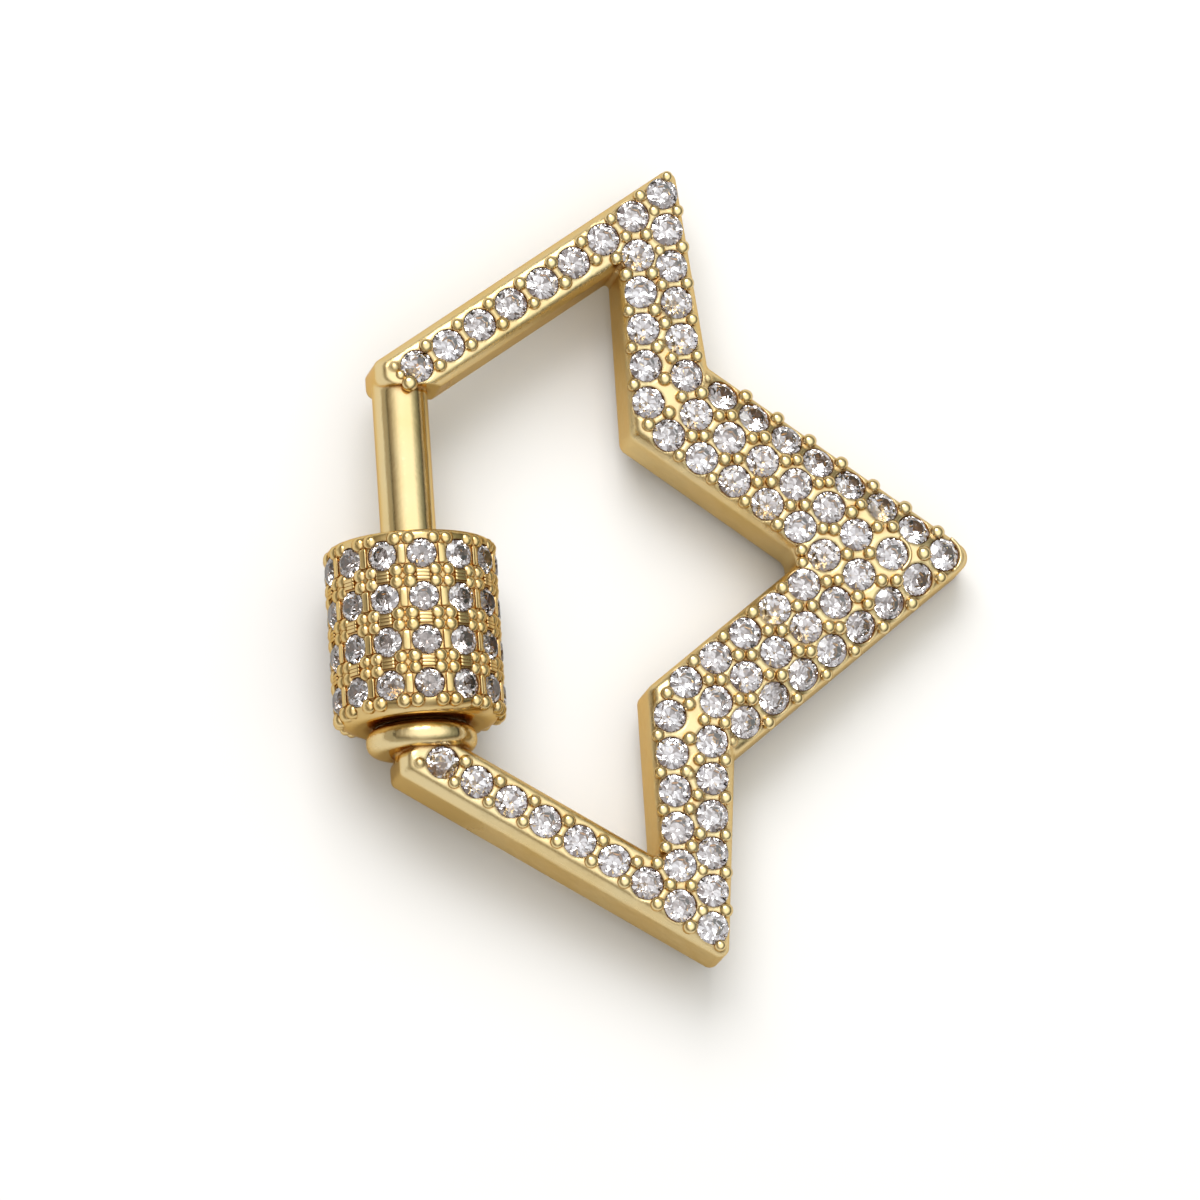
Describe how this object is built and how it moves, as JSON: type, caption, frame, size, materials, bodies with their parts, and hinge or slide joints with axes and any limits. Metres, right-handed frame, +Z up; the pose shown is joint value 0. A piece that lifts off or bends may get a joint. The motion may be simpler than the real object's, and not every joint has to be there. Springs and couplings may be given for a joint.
{
  "type": "crown carabiner clasp",
  "caption": "Open crown-shaped screw clasp: stone-set front, plain back, round rod, and a stone-set barrel that slides and turns on the rod to open it.",
  "frame": {"origin": "on the surface that the clasp lies on, below the middle of its bounding box", "axes": "+Y along the rod, from the collar ring to the open end of the rod; +X from the rod to the middle point of the crown; +Z up, out of the stone-set front"},
  "size_m": [0.0234, 0.029, 0.0063],
  "materials": {
    "gold": "polished pale gold plating",
    "clear_stone": "clear, faceted and polished"
  },
  "bodies": {
    "frame": {"crown_frame": "gold", "frame_stones_upper": "clear_stone", "frame_stones_lower": "clear_stone"},
    "bush": {"thread_bush": "gold"},
    "barrel": {"barrel_sleeve": "gold", "barrel_stones": "clear_stone"}
  },
  "joints": [
    {"name": "barrel_slide", "type": "slide", "parent": "frame", "child": "bush", "axis": [0, 1, 0], "range_m": [0, 0.0056]},
    {"name": "barrel_turn", "type": "hinge", "parent": "bush", "child": "barrel", "pos_m": [-0.00859, 0, 0.00313], "axis": [0, 1, 0], "continuous": true}
  ]
}
